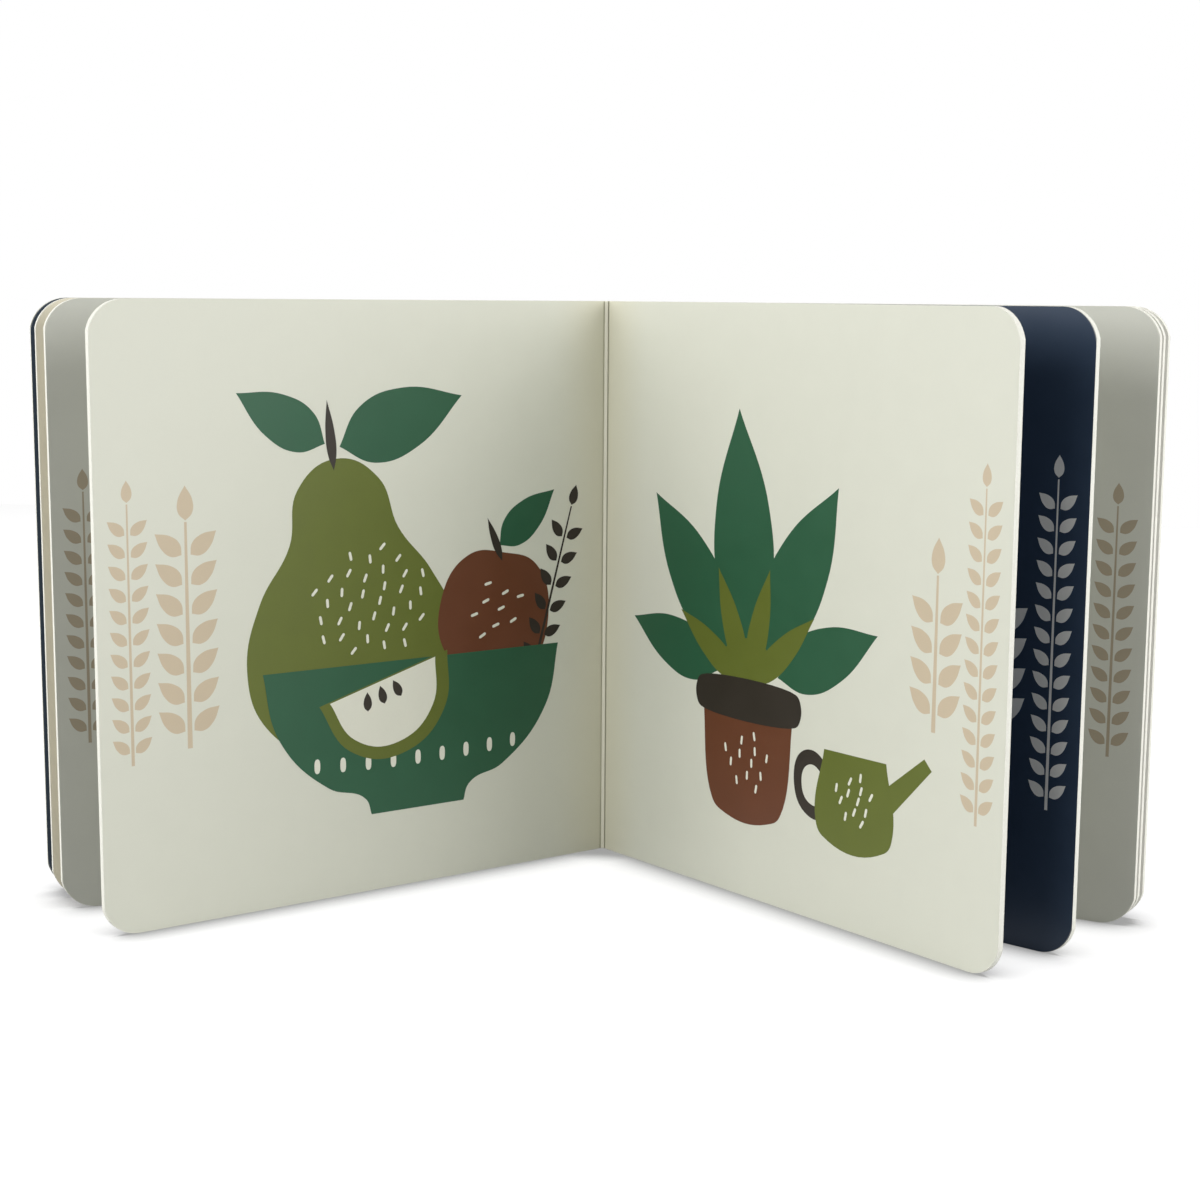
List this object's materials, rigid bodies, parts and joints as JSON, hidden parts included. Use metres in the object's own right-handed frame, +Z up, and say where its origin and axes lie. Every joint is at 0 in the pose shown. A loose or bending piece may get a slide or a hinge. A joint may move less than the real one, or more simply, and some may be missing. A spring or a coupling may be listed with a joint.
{
  "type": "board book",
  "caption": "Square board book that stands open in a V, with thick fanned leaves and a wrap-round cover whose front and back swing on the spine.",
  "frame": {"origin": "foot of the open gutter, in the middle of the gutter strip, on the surface the book stands on", "axes": "+Z up the spine, -Y towards the reader along the middle of the V, -X towards the front cover"},
  "size_m": [0.3315, 0.1398, 0.18],
  "materials": {
    "page_board": "satin laminated print on white board",
    "cover_board": "satin laminated print on white board"
  },
  "bodies": {
    "pages": {"page_block": "page_board", "spine": "cover_board"},
    "front_cover": {"front_cover": "cover_board"},
    "back_cover": {"back_cover": "cover_board"}
  },
  "joints": [
    {"name": "front_cover_hinge", "type": "hinge", "parent": "pages", "child": "front_cover", "pos_m": [-0.00501, 0.00567, 0.09], "axis": [0, 0, -1], "range_deg": [0, 90]},
    {"name": "back_cover_hinge", "type": "hinge", "parent": "pages", "child": "back_cover", "pos_m": [0.0053, 0.00752, 0.09], "axis": [0, 0, 1], "range_deg": [0, 90]}
  ]
}
